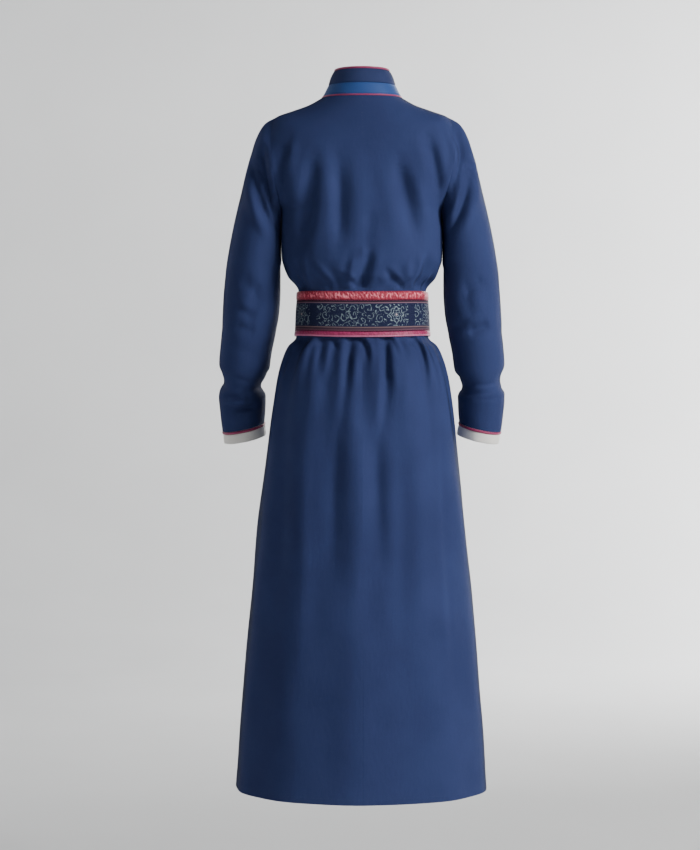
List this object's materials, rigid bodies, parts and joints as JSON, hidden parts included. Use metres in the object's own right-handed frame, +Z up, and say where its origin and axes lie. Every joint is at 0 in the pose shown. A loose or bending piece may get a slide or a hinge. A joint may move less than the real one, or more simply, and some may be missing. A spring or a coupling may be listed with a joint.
{
  "type": "wrap robe",
  "caption": "Ankle-length wrap robe with a two-tier stand collar, long set-in sleeves with light cuffs, a gathered skirt and a wide patterned belt.",
  "frame": {"origin": "middle of the neck opening, level with the side neck points, where the wearer's shoulders and neck hold the robe", "axes": "+Z up, -Y the front with the wrap edge, +X the wearer's left"},
  "size_m": [0.541, 0.3769, 1.3295],
  "materials": {
    "robe_cloth": "matte twill",
    "collar_cloth": "satin",
    "piping": "satin",
    "cuff_cloth": "matte",
    "belt_brocade": "brocade",
    "belt_coral": "satin",
    "belt_magenta": "satin"
  },
  "bodies": {
    "root": {"back_left": "robe_cloth", "back_right": "robe_cloth", "front_outer": "robe_cloth", "front_inner": "robe_cloth", "sleeve_left": "robe_cloth", "sleeve_right": "robe_cloth", "collar_stand": "robe_cloth", "collar_band": "collar_cloth", "collar_top_piping": "piping", "collar_base_piping": "piping", "cuff_left": "cuff_cloth", "cuff_right": "cuff_cloth", "cuff_piping_left": "piping", "cuff_piping_right": "piping", "belt": "belt_brocade", "belt_top_band": "belt_coral", "belt_bottom_band": "belt_magenta", "button_neck": "piping", "button_chest": "piping", "loop_neck": "robe_cloth", "loop_chest": "robe_cloth"}
  },
  "joints": []
}
